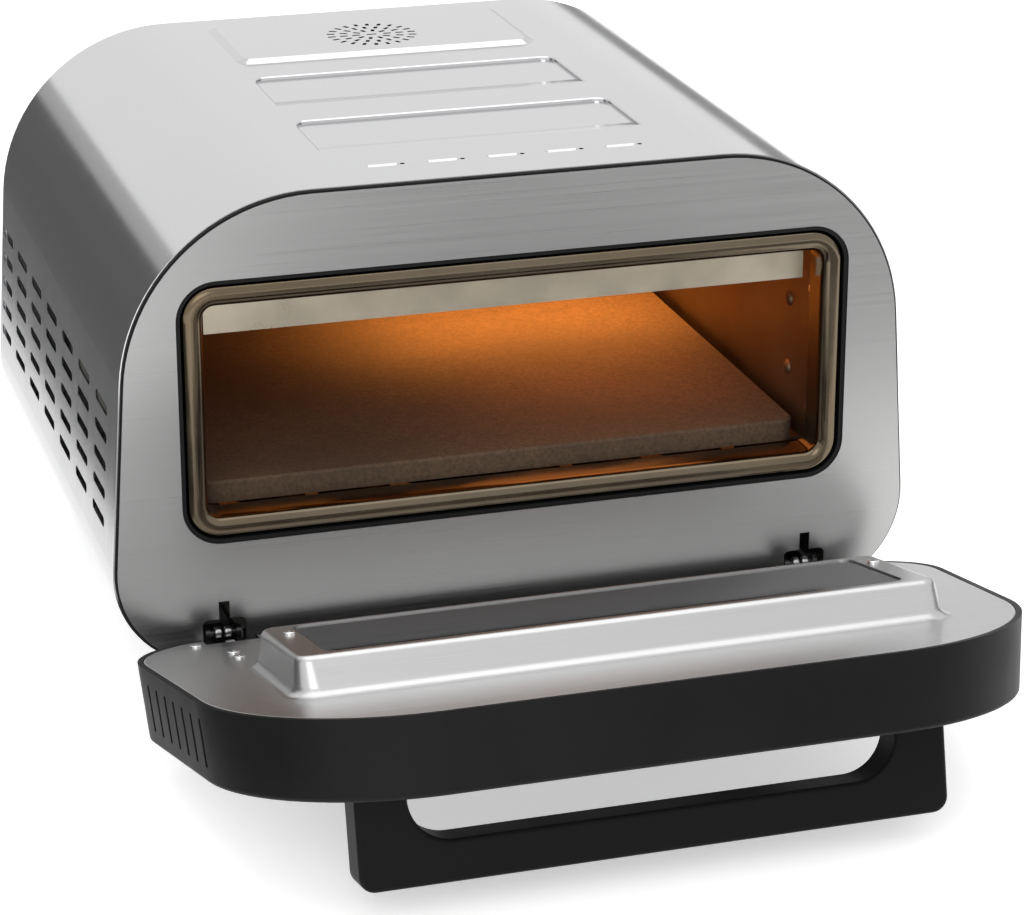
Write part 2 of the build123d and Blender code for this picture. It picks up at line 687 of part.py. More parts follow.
def hinge_pins():
    """Headed pins, their heads towards the outside of the oven."""
    reach = CHEEK_INNER + CHEEK_SHEET
    axis = (AXIS_DEPTH, AXIS_HEIGHT)
    pin = rod((HINGE_X - reach - 2, *axis), (HINGE_X + reach + 0.1, *axis), PIN_RADIUS)
    pin += rod((HINGE_X + reach, *axis), (HINGE_X + reach + 2.4, *axis), 4.6)
    return Compound(children=both_sides(pin))


def hinge_bushes():
    """Nylon bushes on the pins, between the arm and the cheeks."""
    axis = (AXIS_DEPTH, AXIS_HEIGHT)
    gap = ARM_SHEET / 2 + 0.1
    bushes = []
    for side in (-1, 1):
        for flank in (-1, 1):
            start = side * HINGE_X + flank * gap
            end = side * HINGE_X + flank * CHEEK_INNER
            bush = rod((start, *axis), (end, *axis), 5)
            bushes.append(bush - rod((start - 20, *axis), (start + 20, *axis), PIN_RADIUS + 0.02))
    return Compound(children=bushes)


def hinge_arm(side):
    """The door's half of the hinge: leaf, knuckle, detent nose and screw flange."""
    leaf = Pos(-35, 2) * Rectangle(66, 18)
    knuckle = Circle(7)
    nose = Pos(0, ARM_NOSE / 2) * Rectangle(6, ARM_NOSE) + Pos(0, ARM_NOSE) * Circle(3)
    hinge_x = side * HINGE_X
    arm = upright(leaf + knuckle + nose - Circle(PIN_RADIUS + 0.06), hinge_x, ARM_SHEET)
    inner, outer = sorted((hinge_x, side * (HINGE_X + 13)))
    arm += door_block(inner, outer, 36, 66, DOOR_INNER - SHEET - 1.8, DOOR_INNER - SHEET)
    for x, reach in ARM_SCREW_SPOTS:
        arm -= Pos(x, -reach, DOOR_INNER) * Cylinder(1.55, 12)
    return arm


# ---------------------------------------------------------------- door

def hinge_notches():
    """Clear space in the door's hinge edge for the brackets."""
    notch = door_block(-HINGE_X - 15, -HINGE_X + 14, -5, 12, -11, DOOR_INNER + 1)
    return both_sides(notch)


def boss_solid(shrink=0.0, lower=0.0):
    """The tapered raised block that carries the window, drawn larger at its base."""
    def plan(end_narrow, narrow, radius):
        width = BOSS_WIDTH - 2 * end_narrow - 2 * shrink
        length = BOSS_FAR - BOSS_NEAR - 2 * narrow - 2 * shrink
        return Pos(0, (BOSS_NEAR + BOSS_FAR) / 2) * RectangleRounded(width, length, radius - shrink)

    top = BOSS_TOP - lower
    low_plane = Plane(origin=(0, 0, DOOR_INNER - SHEET), x_dir=(1, 0, 0), z_dir=(0, 0, -1))
    high_plane = Plane(origin=(0, 0, top), x_dir=(1, 0, 0), z_dir=(0, 0, -1))
    low, high = plan(0, 0, 12), plan(BOSS_END_SLOPE, BOSS_SLOPE, 7)
    return loft([low_plane * low, high_plane * high], ruled=True)


def door_inner_panel():
    """The pressed inner sheet with the raised boss and its window opening."""
    sheet = through_door(door_outline(BAND_WALL), DOOR_INNER, DOOR_INNER - SHEET)
    sheet = fillet(sheet.faces().sort_by(Axis.Z)[-1].edges(), SHEET_EDGE_FILLET)
    outer = boss_solid()
    outer = fillet(outer.faces().sort_by(Axis.Z)[-1].edges(), BOSS_TOP_FILLET)
    hollow = boss_solid(shrink=SHEET + BOSS_TOP_FILLET / 3, lower=SHEET)
    window = Pos(0, (WINDOW_NEAR + WINDOW_FAR) / 2) * RectangleRounded(
        WINDOW_WIDTH, WINDOW_FAR - WINDOW_NEAR, 7
    )
    panel = sheet + outer
    foot = [
        edge for edge in panel.edges()
        if abs(edge.center().Z - DOOR_INNER) < 0.01 and -BOSS_FAR - 1 < edge.center().Y < 1 - BOSS_NEAR
        and abs(edge.center().X) < BOSS_WIDTH / 2 + 1
    ]
    panel = fillet(foot, BOSS_FOOT_FILLET)
    panel = panel - hollow - through_door(window, BOSS_TOP + 5, BOSS_TOP - 8)
    panel = panel - hinge_notches()
    for x, reach in ARM_SCREW_SPOTS + PANEL_SCREW_SPOTS:
        panel -= Pos(x, -reach, DOOR_INNER) * Cylinder(1.7, 6)
    for x, reach in BOSS_SCREW_SPOTS:
        panel -= Pos(x, -reach, BOSS_TOP) * Cylinder(1.5, 6)
    return panel


def band_slits():
    """Air slits through both side walls of the band."""
    slope = (DOOR_WIDTH - DOOR_TOP_WIDTH) / 2 / DOOR_LENGTH
    turn = degrees(atan(slope))
    cutters = []
    for index in range(SLIT_COUNT):
        reach = SLIT_FIRST + index * SLIT_PITCH
        half = DOOR_WIDTH / 2 - slope * (reach - DOOR_EDGE)
        middle = DOOR_INNER - DOOR_THICKNESS / 2
        slit = Pos(-half, -reach, middle) * Rot(Z=-turn) * Box(22, 3.4, 24)
        cutters += both_sides(slit)
    return cutters


def door_frame():
    """The deep moulded band round the door, with ledges for both panels."""
    low_plane = Plane(origin=(0, 0, DOOR_OUTER), x_dir=(1, 0, 0), z_dir=(0, 0, -1))
    high_plane = Plane(origin=(0, 0, DOOR_INNER), x_dir=(1, 0, 0), z_dir=(0, 0, -1))
    band = loft([low_plane * door_outline(DOOR_DRAFT), high_plane * door_outline()], ruled=True)
    band = fillet(band.faces().sort_by(Axis.Z)[0].edges(), 2.4)
    band -= through_door(door_outline(12), DOOR_INNER + 1, DOOR_OUTER - 1)
    band -= through_door(door_outline(BAND_WALL - 0.1), DOOR_INNER + 1, DOOR_INNER - SHEET)
    band -= through_door(door_outline(BAND_WALL + DOOR_DRAFT), DOOR_INNER - 3.4, PANEL_INNER + 2.2)
    band -= through_door(door_outline(BAND_WALL + DOOR_DRAFT), PANEL_INNER, DOOR_OUTER - 1)
    band = band - band_slits() - hinge_notches()
    for x, reach in PANEL_SCREW_SPOTS:
        band += Pos(x, -reach, DOOR_INNER - SHEET - 5) * Cylinder(4, 10)
        band += door_block(x - 4, x + 4, 6, 15, DOOR_INNER - SHEET - 10, DOOR_INNER - SHEET)
        band -= Pos(x, -reach, DOOR_INNER - SHEET - 5) * Cylinder(1.6, 12)
    return band


def door_panel_screws():
    """The screws that hold the inner sheet to the hinge arms and to the band."""
    screw = Pos(0, 0, DOOR_INNER) * pan_screw(3.4, 1.2, 1.5, 8)
    spots = ARM_SCREW_SPOTS + PANEL_SCREW_SPOTS
    return Compound(children=[Pos(x, -reach, 0) * screw for x, reach in spots])


def control_holes(radius):
    return [Pos(x, -CONTROL_REACH, PANEL_OUTER) * Cylinder(radius, 12) for x in (-KNOB_X, KNOB_X)]


def door_outer_panel():
    """The brushed face of the closed door, with its window and control openings."""
    outline = door_outline(BAND_WALL + DOOR_DRAFT + 0.1)
    panel = through_door(outline, PANEL_INNER, PANEL_OUTER)
    window = Pos(0, (OUTER_WINDOW_NEAR + OUTER_WINDOW_FAR) / 2) * RectangleRounded(
        OUTER_WINDOW_WIDTH, OUTER_WINDOW_FAR - OUTER_WINDOW_NEAR, 10
    )
    panel -= through_door(window, PANEL_INNER + 1, PANEL_OUTER - 1)
    panel = panel - control_holes(5)
    panel -= Pos(BUTTON_X, -CONTROL_REACH, PANEL_OUTER) * Cylinder(7, 8)
    near, far = CONTROL_REACH - DISPLAY_HALF + 2, CONTROL_REACH + DISPLAY_HALF - 2
    panel -= door_block(*DISPLAY_SPAN, near, far, PANEL_OUTER - 1, PANEL_INNER + 1)
    for x, reach in HANDLE_SCREW_SPOTS:
        panel -= Pos(x, -reach, PANEL_OUTER) * Cylinder(2.2, 8)
    return panel


def outer_glass():
    """The clear pane behind the door's outer panel."""
    return door_block(-150, 150, 79, 163, PANEL_INNER, PANEL_INNER + GLASS_THICKNESS)


def inner_glass():
    """The dark pane held under the top of the boss."""
    top = BOSS_TOP - SHEET
    pane = door_block(-151.6, 151.6, 87.3, 166, top - GLASS_THICKNESS, top)
    return fillet(pane.edges().filter_by(Axis.Z), 4)


def window_seal():
    """A soft ring under the edge of the inner pane."""
    top = BOSS_TOP - SHEET - GLASS_THICKNESS
    ring = door_block(-151, 151, 87.5, 165.5, top - 1.5, top)
    return ring - door_block(-146, 146, 91, 153.5, top - 2, top + 1)


def window_tunnel():
    """A folded sheet box that joins the two panes and keeps the filling away from them."""
    low, high = PANEL_INNER + GLASS_THICKNESS, BOSS_TOP - SHEET - GLASS_THICKNESS - 1.5
    box = door_block(-147, 147, 87, 155, low, high)
    return box - door_block(-146.2, 146.2, 87.8, 154.2, low - 1, high + 1)


def window_screws():
    screw = Pos(0, 0, BOSS_TOP) * pan_screw(3.2, 1.6, 1.4, 6)
    return Compound(children=[Pos(x, -reach, 0) * screw for x, reach in BOSS_SCREW_SPOTS])


def door_insulation():
    """A fibre pad that fills the door round the window tunnel."""
    pad = through_door(door_outline(16), DOOR_INNER - SHEET - 0.3, -6)
    pad -= door_block(-250, 250, -20, 72, -10, DOOR_INNER + 1)
    return pad - door_block(-148, 148, 86, 156, -10, DOOR_INNER + 1)


# ---------------------------------------------------------------- handle

def door_handle():
    """A moulded bar on two posts across the far end of the door."""
    half, top = HANDLE_WIDTH / 2, PANEL_OUTER
    bottom = DOOR_OUTER - HANDLE_DROP
    outline = Pos(0, (top + bottom) / 2) * Rectangle(2 * half, top - bottom)
    outline = fillet(outline.vertices().sort_by(Axis.Y)[:2], 8)
    gap_low = bottom + HANDLE_BAR
    gap_top = top + 10
    gap = Rectangle(2 * (half - HANDLE_POST), gap_top - gap_low)
    gap = Pos(0, (gap_top + gap_low) / 2) * gap
    gap = fillet(gap.vertices().sort_by(Axis.Y)[:2], 22)
    plane = Plane(origin=(0, -HANDLE_NEAR, 0), x_dir=(1, 0, 0), z_dir=(0, -1, 0))
    handle = extrude(plane * (outline - gap), amount=HANDLE_DEPTH)
    rim = handle.faces().sort_by(Axis.Y)[0].edges()
    handle = fillet(rim.filter_by(lambda edge: edge.center().Z < top - 0.1), 2.5)
    for x, reach in HANDLE_SCREW_SPOTS:
        handle -= Pos(x, -reach, top) * Cylinder(2.05, 30)
    return handle


def handle_screws():
    screw = Pos(0, 0, PANEL_INNER) * pan_screw(4, 2.2, 2.0, 14)
    return Compound(children=[Pos(x, -reach, 0) * screw for x, reach in HANDLE_SCREW_SPOTS])


# ---------------------------------------------------------------- controls

def control_panel():
    """The gloss bezel under the window, holding the display lens and the controls."""
    plan = Pos(0, CONTROL_REACH) * RectangleRounded(CONTROL_WIDTH, CONTROL_LENGTH, 8)
    bezel = through_door(plan, PANEL_OUTER, BEZEL_OUTER)
    bezel = fillet(bezel.faces().sort_by(Axis.Z)[0].edges(), 1.2)
    bezel = bezel - control_holes(5)
    bezel -= Pos(BUTTON_X, -CONTROL_REACH, PANEL_OUTER) * Cylinder(7, 8)
    near, far = CONTROL_REACH - DISPLAY_HALF, CONTROL_REACH + DISPLAY_HALF
    return bezel - door_block(*DISPLAY_SPAN, near, far, BEZEL_OUTER - 1, PANEL_OUTER + 1)


def display_lens():
    low, high = DISPLAY_SPAN
    near, far = CONTROL_REACH - DISPLAY_HALF + 0.1, CONTROL_REACH + DISPLAY_HALF - 0.1
    return door_block(low + 0.1, high - 0.1, near, far, BEZEL_OUTER + 0.3, PANEL_OUTER)


def control_board():
    """The control board with its push switch."""
    reach, level = CONTROL_REACH, BOARD_OUTER
    board = door_block(-130, 130, reach - 20, reach + 20, level, level + 1.6)
    board += door_block(
        BUTTON_X - 4, BUTTON_X + 4, reach - 4, reach + 4, level - SWITCH_HEIGHT, level
    )
    return board + door_block(60, 82, reach - 8, reach + 8, level + 1.6, level + 5)


def rotary_controls():
    """The housings of the two rotary controls, their shaft holes facing outwards."""
    near, far = CONTROL_REACH - 9, CONTROL_REACH + 9
    housings = []
    for x in (-KNOB_X, KNOB_X):
        housing = door_block(x - 9, x + 9, near, far, PANEL_INNER, BOARD_OUTER)
        shaft_hole = Pos(x, -CONTROL_REACH, PANEL_INNER) * Cylinder(PIN_RADIUS + 0.06, 12)
        housings.append(housing - shaft_hole)
    return Compound(children=housings)


def control_knob(x):
    """A fluted knob with a raised pointer, moulded on its own shaft."""
    low, high = BEZEL_OUTER - 15, BEZEL_OUTER - 0.4
    knob = Pos(0, 0, (low + high) / 2) * Cylinder(19, high - low)
    knob = fillet(knob.edges().group_by(Axis.Z)[0], 2)
    for index in range(24):
        flute = Rot(Z=15 * index + 7.5) * Pos(19.9, 0, (low + high) / 2) * Cylinder(1.7, 30)
        knob -= flute
    knob += Pos(0, -11, low - 0.4) * Box(2.2, 12, 1.2)
    knob += rod((0, 0, high - 1), (0, 0, PANEL_INNER + 5), PIN_RADIUS)
    return Pos(x, -CONTROL_REACH, 0) * knob


def start_button():
    """A round push button whose stem reaches down to its switch."""
    cap = rod((0, 0, BEZEL_OUTER - 2.5), (0, 0, PANEL_INNER - 0.2), 6.7)
    cap = fillet(cap.edges().group_by(Axis.Z)[0], 1)
    stem_end = BOARD_OUTER - SWITCH_HEIGHT - BUTTON_TRAVEL - 0.2
    stem = rod((0, 0, PANEL_INNER - 0.4), (0, 0, stem_end), 2)
    return Pos(BUTTON_X, -CONTROL_REACH, 0) * (cap + stem)


# ---------------------------------------------------------------- output

def body_parts():
    parts = {
        "outer_shell": outer_shell(),
        "front_panel": front_panel(),
        "front_seam_gasket": seam_gasket(),
        "rear_panel": rear_panel(),
        "rear_panel_screws": rear_panel_screws(),
        "cord_gland": cord_gland(),
        "base_plate": base_plate(),
        "base_screws": base_screws(),
        "foot_pads": foot_pads(),
        "foot_screws": foot_screws(),
        "cavity_bead": cavity_bead(),
        "cavity_gasket": cavity_gasket(),
        "cavity_liner": cavity_liner(),
        "cavity_wall_screws": cavity_wall_screws(),
        "front_baffle": front_baffle(),
        "insulation_blanket": insulation_blanket(),
        "upper_heating_element": heating_element(UPPER_ELEMENT_HEIGHT),
        "lower_heating_element": heating_element(LOWER_ELEMENT_HEIGHT),
        "upper_element_supports": element_supports(UPPER_ELEMENT_HEIGHT, 205),
        "lower_element_supports": element_supports(LOWER_ELEMENT_HEIGHT, CAVITY_FLOOR),
        "element_bushings": element_bushings(),
        "element_terminals": element_terminals(),
        "upper_reflector": upper_reflector(),
        "pizza_stone": pizza_stone(),
        "exhaust_duct": exhaust_duct(),
        "temperature_probe": temperature_probe(),
        "board_bracket": board_bracket(),
        "power_board": power_board(),
        "element_wires": element_wires(),
        "hinge_bushes": hinge_bushes(),
        "hinge_pins": hinge_pins(),
        "stone_rails": stone_rails(),
        "rear_spacers": rear_spacers(),
    }
    corners = ("front_left", "rear_left", "front_right", "rear_right")
    for corner, spot in zip(corners, FOOT_SPOTS):
        parts["foot_" + corner] = foot(spot)
    for name, side in (("left", -1), ("right", 1)):
        parts["hinge_bracket_" + name] = hinge_bracket(side)
    return parts


def door_parts():
    return {
        "hinge_arm_left": hinge_arm(-1),
        "hinge_arm_right": hinge_arm(1),
        "door_inner_panel": door_inner_panel(),
        "door_panel_screws": door_panel_screws(),
        "door_frame": door_frame(),
        "door_outer_panel": door_outer_panel(),
        "door_insulation": door_insulation(),
        "outer_glass": outer_glass(),
        "inner_glass": inner_glass(),
        "window_seal": window_seal(),
        "window_tunnel": window_tunnel(),
        "window_screws": window_screws(),
        "door_handle": door_handle(),
        "handle_screws": handle_screws(),
        "control_panel": control_panel(),
        "display_lens": display_lens(),
        "control_board": control_board(),
        "rotary_controls": rotary_controls(),
        "temperature_knob": control_knob(-KNOB_X),
        "timer_knob": control_knob(KNOB_X),
        "start_button": start_button(),
    }


def save_all():
    os.makedirs("parts", exist_ok=True)
    for place, parts in ((BODY_PLACE, body_parts()), (DOOR_PLACE, door_parts())):
        for name, part in parts.items():
            export_step(place * part, "parts/" + name + ".step")


save_all()
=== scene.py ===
import bpy
import json
from math import radians
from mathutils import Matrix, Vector


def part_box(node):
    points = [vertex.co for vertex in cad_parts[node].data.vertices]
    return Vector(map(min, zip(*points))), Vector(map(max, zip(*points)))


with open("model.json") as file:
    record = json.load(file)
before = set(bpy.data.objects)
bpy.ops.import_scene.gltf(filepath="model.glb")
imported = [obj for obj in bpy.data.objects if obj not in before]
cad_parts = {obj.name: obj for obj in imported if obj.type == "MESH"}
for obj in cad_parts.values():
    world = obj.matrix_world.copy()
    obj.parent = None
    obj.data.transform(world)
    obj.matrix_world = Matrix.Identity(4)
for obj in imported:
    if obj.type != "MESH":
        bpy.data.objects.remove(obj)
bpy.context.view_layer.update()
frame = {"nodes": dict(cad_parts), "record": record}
NODES = frame["nodes"]
RECORD = frame["record"]
SLOTS = {s["node"]: s["material_slot"] for s in RECORD["subparts"]}

scene = bpy.context.scene
scene.view_settings.view_transform = "Standard"
scene.view_settings.look = "None"


# ---------------------------------------------------------------- node helpers

class Graph:
    """Short-hand for building a material's node tree."""

    def __init__(self, name):
        self.material = bpy.data.materials.new(name)
        self.material.use_nodes = True
        self.tree = self.material.node_tree
        self.shader = self.tree.nodes["Principled BSDF"]
        self.coords = None

    def node(self, kind, **settings):
        made = self.tree.nodes.new(kind)
        for key, value in settings.items():
            setattr(made, key, value)
        return made

    def link(self, source, target):
        self.tree.links.new(source, target)

    def feed(self, target, value):
        if hasattr(value, "is_output"):
            self.link(value, target)
        else:
            target.default_value = value

    def place(self, scale=(1, 1, 1), turn=(0, 0, 0)):
        """Object coordinates, scaled: these move with the body that a piece rides on."""
        if self.coords is None:
            self.coords = self.node("ShaderNodeTexCoord").outputs["Object"]
        mapping = self.node("ShaderNodeMapping")
        self.link(self.coords, mapping.inputs["Vector"])
        mapping.inputs["Scale"].default_value = scale
        mapping.inputs["Rotation"].default_value = turn
        return mapping.outputs["Vector"]

    def noise(self, vector, scale, detail=3.0, rough=0.55):
        made = self.node("ShaderNodeTexNoise")
        self.link(vector, made.inputs["Vector"])
        made.inputs["Scale"].default_value = scale
        made.inputs["Detail"].default_value = detail
        made.inputs["Roughness"].default_value = rough
        return made.outputs["Fac"]

    def range(self, value, low, high, out_low=0.0, out_high=1.0):
        made = self.node("ShaderNodeMapRange")
        self.link(value, made.inputs["Value"])
        made.inputs["From Min"].default_value = low
        made.inputs["From Max"].default_value = high
        made.inputs["To Min"].default_value = out_low
        made.inputs["To Max"].default_value = out_high
        return made.outputs["Result"]

    def math(self, operation, a, b=0.0):
        made = self.node("ShaderNodeMath", operation=operation)
        self.feed(made.inputs[0], a)
        self.feed(made.inputs[1], b)
        return made.outputs["Value"]

    def mix(self, factor, a, b):
        made = self.node("ShaderNodeMix", data_type="RGBA")
        self.feed(made.inputs[0], factor)
        for socket, value in ((made.inputs[6], a), (made.inputs[7], b)):
            self.feed(socket, (*value, 1.0) if isinstance(value, tuple) else value)
        return made.outputs[2]

    def bump(self, height, strength, distance, below=None):
        made = self.node("ShaderNodeBump")
        self.link(height, made.inputs["Height"])
        made.inputs["Strength"].default_value = strength
        made.inputs["Distance"].default_value = distance
        if below is not None:
            self.link(below, made.inputs["Normal"])
        return made.outputs["Normal"]

    def finish(self, **sockets):
        for key, value in sockets.items():
            socket = self.shader.inputs[key.replace("_", " ")]  # Base_Color stands for "Base Color"
            if isinstance(value, tuple) and len(value) == 3 and socket.type == "RGBA":
                value = (*value, 1.0)
            self.feed(socket, value)
        return self.material


def shade(colour, factor):
    return tuple(min(1.0, c * factor) for c in colour[:3])


def brushed(name, colour, grain, rough=0.26, streak=0.10, smudge=0.05, relief=0.05):
    """Brushed steel: fine streaks along the grain axes in bump, roughness and tone, and faint clouds."""
    g = Graph(name)
    long, across = 9.0, 2600.0
    scale = tuple(long if axis in grain else across for axis in "xyz")
    fine = g.noise(g.place(scale), 1.0, 4.0, 0.6)
    coarse = g.noise(g.place(tuple(s * 0.3 for s in scale)), 1.0, 2.0, 0.5)
    cloud = g.noise(g.place((1, 1, 1)), 9.0, 3.0, 0.5)
    tone = g.math("ADD", g.math("MULTIPLY", fine, 0.6), g.math("MULTIPLY", coarse, 0.4))
    base = g.mix(g.range(tone, 0.3, 0.7), shade(colour, 1 - streak), shade(colour, 1 + streak))
    base = g.mix(g.range(cloud, 0.35, 0.7, 0.0, smudge * 4), base, shade(colour, 0.86))
    roughness = g.math(
        "ADD", g.range(tone, 0.3, 0.7, rough - 0.05, rough + 0.06), g.range(cloud, 0.3, 0.7, 0, smudge)
    )
    normal = g.bump(fine, relief, 0.0002)
    normal = g.bump(coarse, relief / 2, 0.0003, normal)
    return g.finish(Base_Color=base, Metallic=1.0, Roughness=roughness, Normal=normal)


def plated(name, colour, rough=0.2, tint=None, grain=None):
    """Smooth plated or bare sheet with cloudy tone and faint dents."""
    g = Graph(name)
    cloud = g.noise(g.place(), 26.0, 4.0, 0.55)
    speck = g.noise(g.place(), 420.0, 2.0, 0.5)
    base = g.mix(g.range(cloud, 0.35, 0.68), shade(colour, 0.86), shade(colour, 1.06))
    if tint:
        base = g.mix(g.range(g.noise(g.place(), 11.0, 3.0), 0.42, 0.7, 0.0, 0.6), base, tint)
    roughness = g.range(cloud, 0.3, 0.7, rough - 0.04, rough + 0.1)
    normal = g.bump(speck, 0.05, 0.0002)
    return g.finish(Base_Color=base, Metallic=1.0, Roughness=roughness, Normal=normal)


def moulded(name, colour, rough=0.42, grain=0.25, grain_scale=1400.0, specular=0.35):
    """Moulded plastic: fine spark-eroded grain, slight sheen changes from handling."""
    g = Graph(name)
    pebble = g.noise(g.place(), grain_scale, 2.0, 0.6)
    broad = g.noise(g.place(), 14.0, 3.0, 0.5)
    base = g.mix(g.range(broad, 0.3, 0.7), shade(colour, 0.85), shade(colour, 1.2))
    roughness = g.range(broad, 0.3, 0.7, rough - 0.05, rough + 0.07)
    normal = g.bump(pebble, grain, 0.00015)
    g.shader.inputs["Specular IOR Level"].default_value = specular
    return g.finish(Base_Color=base, Roughness=roughness, Normal=normal)


def mineral(name, colour, dark, scale=60.0, rough=0.85, pits=0.5):
    """Stone, ceramic or fibre: speckled tone over a pitted surface."""
    g = Graph(name)
    speckle = g.noise(g.place(), scale * 8, 4.0, 0.7)
    broad = g.noise(g.place(), scale / 6, 4.0, 0.6)
    base = g.mix(g.range(speckle, 0.35, 0.65), dark, colour)
    base = g.mix(g.range(broad, 0.4, 0.7, 0, 0.5), base, shade(dark, 0.7))
    normal = g.bump(speckle, pits, 0.0005)
    return g.finish(Base_Color=base, Roughness=rough, Normal=normal)


# ---------------------------------------------------------------- materials

def element_hot(name, glow_strength):
    """A sheathed element, glowing unevenly along its length."""
    g = Graph(name)
    broad = g.noise(g.place(), 16.0, 2.0)
    scale_marks = g.noise(g.place(), 500.0, 3.0)
    base = g.mix(g.range(scale_marks, 0.35, 0.65), (0.10, 0.07, 0.05), (0.24, 0.16, 0.11))
    glow = g.mix(g.range(broad, 0.3, 0.7), (1.0, 0.22, 0.03), (1.0, 0.42, 0.08))
    g.shader.inputs["Emission Strength"].default_value = glow_strength
    return g.finish(Base_Color=base, Roughness=0.7, Emission_Color=glow)


def circuit_board(name):
    g = Graph(name)
    bricks = g.node("ShaderNodeTexBrick")
    g.link(g.place((260, 260, 260)), bricks.inputs["Vector"])
    bricks.inputs["Color1"].default_value = (0.008, 0.05, 0.022, 1)
    bricks.inputs["Color2"].default_value = (0.012, 0.075, 0.03, 1)
    bricks.inputs["Mortar"].default_value = (0.03, 0.12, 0.055, 1)
    return g.finish(Base_Color=bricks.outputs["Color"], Roughness=0.4)


def glass_pane(name, colour, see_through):
    """Tempered glass with a faint haze; see_through is its transmission weight."""
    g = Graph(name)
    haze = g.noise(g.place(), 30.0, 4.0, 0.6)
    g.shader.inputs["Transmission Weight"].default_value = see_through
    g.shader.inputs["IOR"].default_value = 1.5
    base = g.mix(g.range(haze, 0.35, 0.7), shade(colour, 0.92), shade(colour, 1.08))
    return g.finish(Base_Color=base, Roughness=g.range(haze, 0.3, 0.7, 0.02, 0.07))


def braided(name, colour):
    g = Graph(name)
    waves = g.node("ShaderNodeTexWave", wave_type="BANDS", bands_direction="DIAGONAL")
    g.link(g.place(), waves.inputs["Vector"])
    waves.inputs["Scale"].default_value = 300.0
    base = g.mix(waves.outputs["Fac"], shade(colour, 0.6), colour)
    return g.finish(Base_Color=base, Roughness=0.8, Normal=g.bump(waves.outputs["Fac"], 0.5, 0.0003))


MATERIALS = {
    "case_steel": brushed("case_steel", (0.60, 0.60, 0.61), "xz", 0.115, 0.02, 0.02, 0.02),
    # panel_steel and the door sheet's steel are one brushed steel in two tones: painted shade darkens the
    # front panel, painted light lightens the door sheet.
    "panel_steel": brushed("panel_steel", (0.44, 0.438, 0.436), "x", 0.29, 0.03, 0.03, 0.05),
    "door_steel_painted_lighter": brushed("door_steel_painted_lighter", (0.55, 0.55, 0.55), "x", 0.29, 0.03, 0.03, 0.05),
    "zinc_steel": plated("zinc_steel", (0.46, 0.47, 0.49), 0.34),
    "hinge_steel": plated("hinge_steel", (0.075, 0.075, 0.08), 0.4),
    "roller_steel": plated("roller_steel", (0.50, 0.50, 0.50), 0.28),
    "screw_steel": plated("screw_steel", (0.78, 0.78, 0.78), 0.2),
    # bead_steel's base is darker than its heat-tinted steel alone: painted reflection of the dark cavity
    # and its shade, which the polished bead mirrors.
    "bead_steel": plated("bead_steel", (0.155, 0.125, 0.088), 0.15, (0.14, 0.10, 0.06)),
    "liner_steel": plated("liner_steel", (0.28, 0.20, 0.13), 0.4, (0.17, 0.10, 0.055)),
    "baffle_steel": plated("baffle_steel", (0.58, 0.51, 0.40), 0.3),
    "element_metal": element_hot("element_metal", 0.9),
    "warm_element": element_hot("warm_element", 0.06),
    "black_plastic": moulded("black_plastic", (0.005, 0.005, 0.0055), 0.5, 0.25, 1400.0, 0.15),
    "handle_plastic": moulded("handle_plastic", (0.003, 0.003, 0.0034), 0.48, 0.12, 1400.0, 0.12),
    "gloss_black": moulded("gloss_black", (0.006, 0.006, 0.007), 0.12, 0.02, 300.0, 0.5),
    "knob_plastic": moulded("knob_plastic", (0.016, 0.016, 0.016), 0.34, 0.1),
    "button_metal": plated("button_metal", (0.45, 0.45, 0.46), 0.24),
    "pointer_paint": moulded("pointer_paint", (0.62, 0.62, 0.60), 0.45, 0.1),
    "black_rubber": moulded("black_rubber", (0.006, 0.006, 0.006), 0.62, 0.3, 700.0, 0.2),
    "baking_stone": mineral("baking_stone", (0.125, 0.075, 0.042), (0.068, 0.040, 0.022), 60.0, 0.85, 0.25),
    "white_ceramic": mineral("white_ceramic", (0.82, 0.79, 0.72), (0.7, 0.66, 0.58), 120.0, 0.6, 0.2),
    "white_nylon": moulded("white_nylon", (0.72, 0.70, 0.64), 0.5, 0.1),
    "fibre_blanket": mineral("fibre_blanket", (0.82, 0.79, 0.72), (0.6, 0.57, 0.5), 160.0, 0.95, 0.9),
    "circuit_board": circuit_board("circuit_board"),
    "wire_sleeve": braided("wire_sleeve", (0.62, 0.56, 0.46)),
    "dark_glass": glass_pane("dark_glass", (0.012, 0.012, 0.014), 0.25),
    "clear_glass": glass_pane("clear_glass", (0.20, 0.21, 0.215), 0.92),
    "display_glass": glass_pane("display_glass", (0.006, 0.006, 0.008), 0.1),
}

# These nodes get a finer choice of material than their record slot gives; the door sheet's is the panel's
# brushed steel in a lighter tone, which is painted light.
NODE_MATERIALS = {
    "door_inner_panel": "door_steel_painted_lighter",
    "lower_heating_element": "warm_element",
    "hinge_bracket_left": "hinge_steel",
    "hinge_bracket_right": "hinge_steel",
}

for name, obj in NODES.items():
    obj.data.materials.clear()
    obj.data.materials.append(MATERIALS[NODE_MATERIALS.get(name, SLOTS[name])])


ROLLER_HALF_SPAN = 0.0049  # from a bracket's middle to just past its rollers
ROLLER_BAND = 0.0065  # how far the rollers reach down from a bracket's top
POINTER_RELIEF = 0.0009  # how far a knob's pointer stands proud of its face


def polish_rollers(name):
    """Give the two rollers of a hinge bracket a bright finish: they lie at its top, near its middle."""
    mesh = NODES[name].data
    mesh.materials.append(MATERIALS["roller_steel"])
    low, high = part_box(name)
    middle = (low.x + high.x) / 2
    for face in mesh.polygons:
        spot = NODES[name].matrix_world @ face.center
        if abs(spot.x - middle) < ROLLER_HALF_SPAN and spot.z > high.z - ROLLER_BAND:
            face.material_index = 1


